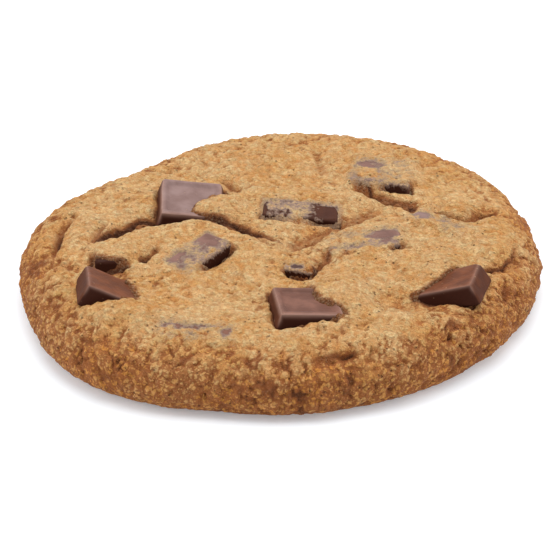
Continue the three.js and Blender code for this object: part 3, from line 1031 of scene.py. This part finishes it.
@dataclass(frozen=True)
class DarkChocolate:
    """The finish of the chunks: brown chocolate with bloom that is also a painted sheen, painted
    light on tops and ends, a painted highlight on edges, and dustings of dough.
    """

    body: tuple[float, ...] = colour(58, 28, 18)
    # A lighter brown painted on tops and ends as painted light.
    top_light: tuple[float, ...] = colour(122, 72, 48)
    # A pale brown painted along the edges as a painted highlight.
    rim: tuple[float, ...] = colour(182, 144, 128)
    # A grey bloom colour that also stands in for a painted sheen on the tops.
    bloom_and_sheen: tuple[float, ...] = colour(148, 126, 122)
    dust: tuple[float, ...] = colour(152, 127, 112)
    mottle_size: float = 3.2
    grit_size: float = 0.5
    speck_size: float = 1.4
    bump: float = 0.6
    ior: float = 1.3
    specular: float = 0.2

    def material(self, group: bpy.types.NodeTree) -> bpy.types.Material:
        """Build the chunks' material, dusted where a mask says so.

        Args:
            group: the node group that colours dough.

        Returns:
            The material.
        """
        made, s, shader = start_material("dark_chocolate")
        where = s.where()
        masks = dict(zip(DOUGH_MASKS, (0.1, 0.0, 0.8)))
        crumb = s.node("ShaderNodeGroup", {"Where": where, **masks}, node_tree=group).outputs

        mottle = s.cloud(where, self.mottle_size, 3.0, 0.55, 0.3)
        grit = s.cloud(where, self.grit_size, 3.0, 0.65)
        specks = s.ramp(s.grains(where, self.speck_size), 0.05, 0.14, 1.0, 0.0)
        specks = s.math("MULTIPLY", specks, s.ramp(s.cloud(where, 3.0), 0.5, 0.62))
        film = s.math("ADD", s.mask("film"), s.ramp(grit, 0.25, 0.75, -0.25, 0.25))
        # Bloom on the tops, which is also a painted sheen.
        bloom_and_sheen = s.math("MULTIPLY", s.mask("bloom_and_sheen"), s.ramp(mottle, 0.3, 0.7, 0.65, 1.0))
        # Painted light: tops and ends are painted a lighter brown.
        top_lit = s.math("MULTIPLY", s.mask("upper"), s.ramp(mottle, 0.35, 0.7, 0.5, 1.0))
        base = s.mix(top_lit, self.body, self.top_light)
        base = s.mix(bloom_and_sheen, base, self.bloom_and_sheen)
        # Painted highlight along the edges.
        base = s.mix(s.math("MULTIPLY", s.mask("edge"), 0.55), base, self.rim)
        base = s.mix(s.math("MULTIPLY", specks, 0.6), base, crumb["Color"])
        base = s.mix(s.ramp(film, 0.35, 0.8, 0.0, 0.9), base, self.dust)
        base = s.mix(s.ramp(film, 0.8, 1.1), base, crumb["Color"])
        roughness = s.ramp(mottle, 0.3, 0.7, 0.28, 0.42)
        roughness = s.math("MULTIPLY_ADD", s.mask("matte"), 0.35, roughness)
        roughness = s.math("MULTIPLY_ADD", s.ramp(film, 0.3, 0.8), 0.4, roughness)
        height = s.ramp(film, 0.3, 0.95, 0.06, 0.8)
        height = s.math("MULTIPLY", crumb["Height"], height)
        for layer in (mottle, specks):
            height = s.math("MULTIPLY_ADD", layer, 0.12, height)
        s.feed(
            shader,
            {
                "Base Color": base,
                "Roughness": roughness,
                "Normal": s.bump(height, self.bump),
                "IOR": self.ior,
                "Specular IOR Level": self.specular,
            },
        )
        return made


# ---- Pieces ----


@dataclass
class Dough:
    """The baked round, as one pressed grid.

    The finer relief is domes with grains on them, split by holes and pits. The sizes named rim
    are what a height gains over the rim.
    """

    form: DoughForm
    material: bpy.types.Material
    divisions: int = 306
    dome_height: float = 0.4
    dome_rim: float = 0.35
    grain_height: float = 0.62
    grain_rim: float = 0.15
    cobble_middle: float = 0.67
    hole_depth: float = 0.6
    pit_depth: float = 0.5
    lap_height: float = 0.3
    thinnest_film: float = -0.4
    thickest_film: float = 0.6
    crumb_on_film: float = 0.7
    gap_place: float = 0.5
    gap_width: float = 0.55
    smear_reach: float = 1.2
    smear_share: float = 0.2
    toast: float = 0.95
    wide_bend: Pattern = Pattern(2.4, 71, 0.9)
    close_bend: Pattern = Pattern(1.0, 74, 0.4)
    domes: Pattern = Pattern(2.1, 21)
    grain_bend: Pattern = Pattern(0.9, 77, 0.3)
    grains: Pattern = Pattern(1.25, 31)
    holed: Pattern = Pattern(4.6, 42)
    seams: Pattern = Pattern(3.0, 41)
    seam_breaks: Pattern = Pattern(1.4, 43)
    pits: Pattern = Pattern(2.7, 51)
    pitted: Pattern = Pattern(6, 52)
    edge_fuzz: Pattern = Pattern(1.3, 95, 0.3)
    edge_wander: Pattern = Pattern(3.4, 97, 0.3)
    toast_clouds: Pattern = Pattern(9, 81, 0.16)
    toast_flecks: Pattern = Pattern(4, 82, 0.1)

    def grid(self) -> bpy.types.Object:
        """Add the flat grid and close it underneath, ready to be pressed into shape.

        Returns:
            The grid, with its points in rows from -radius to radius.
        """
        deselect_all()
        bpy.ops.mesh.primitive_grid_add(
            x_subdivisions=self.divisions,
            y_subdivisions=self.divisions,
            size=2 * self.form.radius * MM,
        )
        bpy.ops.object.mode_set(mode="EDIT")
        bpy.ops.mesh.select_all(action="DESELECT")
        bpy.ops.mesh.select_mode(type="EDGE")
        bpy.ops.mesh.select_non_manifold()
        bpy.ops.mesh.edge_face_add()
        bpy.ops.object.mode_set(mode="OBJECT")
        return bpy.context.object

    def spread(self, square: np.ndarray) -> tuple[np.ndarray, np.ndarray]:
        """Map the square grid onto a disc with even density.

        Args:
            square: the grid's points, from -1 to 1.

        Returns:
            The share of the surface inside each point, and its bearing.
        """
        x, y = square[:, 0], square[:, 1]
        ring = np.maximum(np.abs(x), np.abs(y))
        safe = np.where(ring > 0, ring, 1)
        beside = np.abs(x) >= np.abs(y)
        eighth = np.where(beside, y / safe * np.sign(x), -x / safe * np.sign(y)) * math.pi / 4
        middle = np.where(beside, np.where(x >= 0, 0, math.pi), np.sign(y) * math.pi / 2)
        return np.minimum(ring, 1) ** 2, middle + eighth

    def crust(self, skin: Skin) -> tuple[np.ndarray, np.ndarray]:
        """Work out the crust's finer relief.

        Args:
            skin: places on the plain form.

        Returns:
            The relief along the surface's direction, and how strongly painted shade darkens its
            holes and pits.
        """
        bold = self.dome_height + self.dome_rim * skin.edge
        bent = self.close_bend.drift(self.wide_bend.drift(skin.places))
        heaps = self.domes.cobbles(bent)
        domes = (heaps - self.cobble_middle) * bold
        crumbs = self.grains.cobbles(self.grain_bend.drift(skin.places))
        fine = self.grain_height + self.grain_rim * skin.edge
        grains = (crumbs - self.cobble_middle) * fine
        here = ease(self.holed.waves(skin.places) + 0.6 * skin.edge, 0, 0.6)
        seams = ease(np.abs(self.seams.waves(bent)), 0.16, 0.0)
        seams = seams * ease(self.seam_breaks.waves(skin.places), -0.3, 0.3)
        holes = np.maximum(0.9 * seams, ease(heaps, 0.45, 0.1)) * here * bold
        pits = ease(self.pits.cobbles(bent), 0.93, 0.99)
        pits = pits * ease(self.pitted.waves(skin.places), 0.1, 0.4)
        relief = domes + grains - self.hole_depth * holes - self.pit_depth * pits
        # The second value is painted shade in the holes and pits.
        return relief, np.clip(holes + 0.3 * pits, 0, 1)

    def drape(
        self, skin: Skin, places: np.ndarray, fine: np.ndarray
    ) -> tuple[np.ndarray, np.ndarray, np.ndarray]:
        """Lay the dough against the chunks: films over some, laps and gaps beside all.

        Args:
            skin: places on the plain form.
            places: points of the dough with its relief, one row each.
            fine: the crust's finer relief.

        Returns:
            The new heights, the painted shade of the gaps and lap edges, and the cocoa smeared onto
            the dough.
        """
        height = places[:, 2].copy()
        contact_shade = np.zeros(len(places))
        smear = np.zeros(len(places))
        fuzz = self.edge_fuzz.waves(skin.places) + self.edge_wander.waves(skin.places)
        for block in BLOCKS:
            top, outside = block.top_at(places[:, 0], places[:, 1])
            deep = block.stand_off(places[:, 0], places[:, 1])
            apart = np.minimum(1, deep)
            outside = outside + fuzz * (1 if block.film is None else 1.6 - apart)
            over = height - top
            if block.film is None:
                lap = ease(outside, 0.5, -0.3) * np.tanh(over / 0.15)
                lap = lap * ease(np.abs(over), 1.6, 0.4)
                height = height + self.lap_height * lap
                # Painted shadow along the lap's edge, where the dough meets the chunk's top.
                contact_shade = np.maximum(contact_shade, 0.8 * bell(over, 0.4) * ease(outside, 0.6, 0))
            else:
                cover = block.cover(skin.places)
                thick = np.clip(cover, self.thinnest_film, self.thickest_film)
                crumb = self.crumb_on_film * fine * ease(thick, -0.1, 0.3)
                laid = top + thick + np.maximum(0, over - 0.5) + crumb
                held = ease(outside, 1.6 - 1.5 * apart, -0.3)
                height = height + (laid - height) * held
                stain = ease(thick, 0.45, -0.1) * ease(outside, 1.4, -0.6)
                smear = np.maximum(smear, stain * ease(over, 1.6, 0.8))
            beside = bell(outside - self.gap_place, self.gap_width) * ease(over, 0.5, -0.4)
            height = height - deep * beside
            # Painted shade in the gap beside the chunk.
            contact_shade = np.maximum(contact_shade, apart * beside)
            near = bell(np.maximum(outside, 0), self.smear_reach)
            near = near * ease(np.abs(over), 1.4, 0.2)
            smear = np.maximum(smear, self.smear_share * near)
        return height, contact_shade, smear

    def build(self) -> bpy.types.Object:
        """Build the dough and store the masks that its material reads.

        Returns:
            The finished piece.
        """
        obj = self.grid()
        skin = self.form.skin(*self.spread(places_of(obj) / (self.form.radius * MM)))
        depth, fold_shading = self.form.creases(skin.places)
        fine, hole_shading = self.crust(skin)
        lift = skin.on_top * (self.form.lie(skin.places[:, 0], skin.places[:, 1]) - depth)
        lift = lift + skin.near_foot * (self.form.ground(skin) + fine)
        places = skin.places + skin.outward * lift[:, None]
        height, contact_shade, smear = self.drape(skin, places, fine)
        places[:, 2] += (height - places[:, 2]) * skin.on_top
        under = skin.t >= PROFILE_END - 0.001
        places[:, 2] = np.where(under, 0, np.maximum(places[:, 2], 0))
        set_places(obj, self.form.to_frame(places))

        # Real toast grows towards the rim.
        along = skin.t + self.toast_clouds.waves(skin.places)
        toast = ease(along + self.toast_flecks.waves(skin.places), 0.85, 2.1)
        # Painted shade: lower lumps and the hollows between crumbs are painted a darker brown.
        low = 0.4 * ease(lift, 0.3, -1.2) * skin.on_top
        low = low + (0.35 + 0.1 * skin.edge) * ease(fine, 0.05, -0.35)
        # Painted highlight: the crumbs' tips are painted paler.
        tip_highlight = (0.35 - 0.2 * skin.edge) * ease(fine, 0.0, 0.3)
        # Painted shade where folds, holes, pits and the gaps beside chunks lie.
        crevice_shade = np.maximum.reduce([fold_shading * skin.on_top, hole_shading, contact_shade])
        # This mask is real toast, plus painted shade in hollows, less a painted highlight on crumb
        # tips.
        set_mask(obj, "browning_and_shade", np.clip(self.toast * toast + low - tip_highlight, -1, 1))
        set_mask(obj, "crevice_shade", np.clip(crevice_shade, 0, 1))
        set_mask(obj, "smear", smear * skin.on_top)
        finish_piece(obj, "baked_round", self.material)
        return obj


@dataclass
class Chunks:
    """The blocks of chocolate, each one pressed cube.

    The crowding is how much the cube's points gather towards its edges. The painted light on the
    ends, and the painted highlight on a plain chunk's edges, is a share of that on a top and on a
    moulded edge.
    """

    form: DoughForm
    material: bpy.types.Material
    rounding: float = 0.7
    edge_width: float = 0.45
    rim_width: float = 1.4
    rim_rise: float = 0.35
    dish: float = 0.25
    cuts: int = 34
    crowding: float = 1.35
    chip_depth: float = 0.3
    chip_share: float = 0.3
    # Shares of the painted light on the ends and of the painted highlight on a plain chunk's edges.
    end_light: float = 0.45
    plain_edge_light: float = 0.6
    waver: Pattern = Pattern(4.5, 54, 0.12)
    chips: Pattern = Pattern(1.2, 57)

    def cube(self, block: Block) -> bpy.types.Object:
        """Add a cube of a block's size at its place, and cut each face into a fine grid.

        Args:
            block: the block to make.

        Returns:
            The cube.
        """
        deselect_all()
        bpy.ops.mesh.primitive_cube_add(
            size=1,
            location=self.form.to_frame(np.array(block.at)),
            scale=np.array(block.size) * MM,
        )
        bpy.ops.object.mode_set(mode="EDIT")
        bpy.ops.mesh.select_all(action="SELECT")
        bpy.ops.mesh.subdivide(number_cuts=self.cuts)
        bpy.ops.object.mode_set(mode="OBJECT")
        bpy.ops.object.transform_apply(location=True, rotation=False, scale=True)
        return bpy.context.object

    def press(self, block: Block, share: np.ndarray) -> tuple[np.ndarray, np.ndarray]:
        """Press the cube's points into a block.

        Args:
            block: the block to make.
            share: the cube's points, from -1 to 1.

        Returns:
            The points in the block's own frame, and how near an edge each is, from 0 to 1.
        """
        crowded = (1 - np.minimum(np.abs(share), 1)) ** self.crowding
        share = np.sign(share) * (1 - crowded)
        half = np.array(block.size) / 2
        core = half - self.rounding
        inner = np.clip(share * half, -core, core)
        outward = share * half - inner
        length = np.linalg.norm(outward, axis=1, keepdims=True)
        local = inner + outward / np.where(length > 0, length, 1) * self.rounding
        to_edge = np.sort(half - np.abs(local), axis=1)[:, 1]
        edge = bell(to_edge, self.edge_width)
        if block.moulded:
            inset = np.minimum(half[0] - np.abs(local[:, 0]), half[1] - np.abs(local[:, 1]))
            on_top = ease(share[:, 2], 0.6, 1.0)
            wide = self.rim_width
            local[:, 2] += on_top * self.rim_rise * ease(inset, wide, 0.7 * wide)
            local[:, 2] -= on_top * self.dish * ease(inset, 0.8 * wide, 1.3 * wide)
        local[:, :2] *= (1 + (1 - share[:, 2]) * block.flare / block.size[0])[:, None]
        spot = local + np.array(block.at)
        local = self.waver.drift(spot) - np.array(block.at)
        chips = np.maximum(0, self.chips.waves(spot) - self.chip_share) * edge
        local -= np.sign(local) * (self.chip_depth * chips)[:, None]
        return local, edge

    def build(self, block: Block) -> bpy.types.Object:
        """Build one chunk and store the masks that its material reads.

        Args:
            block: the block to make.

        Returns:
            The finished piece.
        """
        obj = self.cube(block)
        off = places_of(obj) - self.form.to_frame(np.array(block.at))
        share = off / (np.array(block.size) / 2 * MM)
        local, edge = self.press(block, share)
        places = local @ block.pose[:3, :3].T + block.pose[:3, 3]
        set_places(obj, self.form.to_frame(places))
        upper = ease(share[:, 2], 0.9, 0.99)
        # Painted light: the ends get a share of the tops' lighter brown.
        ends = self.end_light * ease(np.abs(share[:, 0]), 0.9, 0.99)
        dusted = 0.2 + 0.8 * ease(share[:, 2], 0.1, 0.9)
        set_mask(obj, "film", ease(block.cover(places), -0.5, 0.1) * dusted)
        set_mask(obj, "matte", 1 - upper)
        # The tops and ends take painted light.
        set_mask(obj, "upper", block.top_light * np.maximum(upper, ends))
        # Bloom on the tops, partly a painted sheen.
        set_mask(obj, "bloom_and_sheen", block.bloom_and_sheen * upper)
        # Painted highlight along the top edges, fullest on moulded chunks.
        sharp = 1 if block.moulded else self.plain_edge_light
        set_mask(obj, "edge", sharp * block.top_light * edge * ease(share[:, 2], -0.2, 0.6))
        finish_piece(obj, f"{block.name}_bar", self.material)
        return obj


# ---- Studio ----


class Softbox(Enum):
    """The lights over the table: place in metres, size in metres, and power in watts."""

    OVERHEAD = ((0.05, 0.2, 0.97), 1.2, 10.5)
    LEFT = ((-0.9, -0.1, 0.5), 0.7, 4.0)
    RIGHT = ((0.9, -0.1, 0.5), 0.7, 3.6)


@dataclass
class Studio:
    """The floor, the lights and the camera.

    The camera stands back from the target, which is a place in the tables' millimetres. It
    aims a little to the left of and below the target, by aim_left and aim_down in millimetres.
    """

    form: DoughForm
    elevation: float = 28.0
    distance: float = 700.0
    target: tuple[float, float, float] = (-0.27, -1.86, 6.75)
    aim_left: float = 0.19
    aim_down: float = 2.62
    width_in_view: float = 108.5
    sensor_width: float = 36.0
    nearest_in_view: float = 0.05
    farthest_in_view: float = 20.0
    daylight: tuple[float, ...] = (0.9, 0.95, 1, 1)
    world_strength: float = 0.53
    floor_size: float = 6.0
    floor_colour: tuple[float, ...] = (0.8, 0.82, 0.84, 1)
    floor_roughness: float = 0.9
    floor_specular: float = 0.1
    floor_glow: float = 0.24

    def floor(self) -> None:
        """Add a wide pale floor that glows a little."""
        deselect_all()
        bpy.ops.mesh.primitive_plane_add(size=self.floor_size, location=(0, 0, 0))
        obj = bpy.context.object
        obj.name = "floor"
        made, s, shader = start_material("pale_floor")
        s.feed(
            shader,
            {
                "Base Color": self.floor_colour,
                "Roughness": self.floor_roughness,
                "Specular IOR Level": self.floor_specular,
                "Emission Color": self.daylight,
                "Emission Strength": self.floor_glow,
            },
        )
        obj.data.materials.append(made)

    def light(self, box: Softbox) -> None:
        """Hang a square softbox that looks at the cookie.

        Args:
            box: which one.
        """
        place, size, power = box.value
        data = bpy.data.lights.new(f"{box.name.lower()}_softbox", "AREA")
        data.shape = "SQUARE"
        data.size = size
        data.energy = power
        obj = bpy.data.objects.new(data.name, data)
        bpy.context.collection.objects.link(obj)
        obj.location = place
        obj.rotation_euler = (-Vector(place)).to_track_quat("-Z", "Y").to_euler()

    def sky(self) -> None:
        """Fill the room with soft white light."""
        world = bpy.data.worlds.new("white_room")
        world.use_nodes = True
        background = world.node_tree.nodes["Background"]
        background.inputs["Color"].default_value = self.daylight
        background.inputs["Strength"].default_value = self.world_strength
        bpy.context.scene.world = world

    def camera(self) -> None:
        """Set the camera at its angle and distance."""
        data = bpy.data.cameras.new("camera")
        data.sensor_width = self.sensor_width
        data.sensor_fit = "HORIZONTAL"
        data.lens = data.sensor_width * self.distance / self.width_in_view
        data.clip_start = self.nearest_in_view
        data.clip_end = self.farthest_in_view
        obj = bpy.data.objects.new("camera", data)
        bpy.context.collection.objects.link(obj)
        tilt = math.radians(self.elevation)
        back = np.array([0, -math.cos(tilt), math.sin(tilt)])
        down = np.array([0, -math.sin(tilt), -math.cos(tilt)])
        place = np.array(self.target) + back * self.distance
        aim = np.array(self.target) - np.array([self.aim_left, 0, 0]) + down * self.aim_down
        obj.location = self.form.to_frame(place)
        obj.rotation_euler = Vector(aim - place).to_track_quat("-Z", "Y").to_euler()
        bpy.context.scene.camera = obj

    def build(self) -> None:
        """Build the whole studio."""
        self.floor()
        self.sky()
        for box in Softbox:
            self.light(box)
        self.camera()
        bpy.context.scene.view_settings.view_transform = "Standard"
        bpy.context.scene.view_settings.look = "None"


def main() -> None:
    """Build the cookie's pieces and the studio."""
    logging.basicConfig(level=logging.INFO, format="%(message)s")
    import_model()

    form = DoughForm()
    LOG.info("the tables' origin is at %.3f, %.3f mm", *form.origin[:2])
    group = BakedDough().group()
    dough = Dough(form, BakedDough().material(group)).build()
    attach(dough, "root")
    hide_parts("dough")

    maker = Chunks(form, DarkChocolate().material(group))
    for block in BLOCKS:
        chunk = maker.build(block)
        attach(chunk, "root")
        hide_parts(block.name)

    Studio(form).build()


if __name__ == "__main__":
    main()
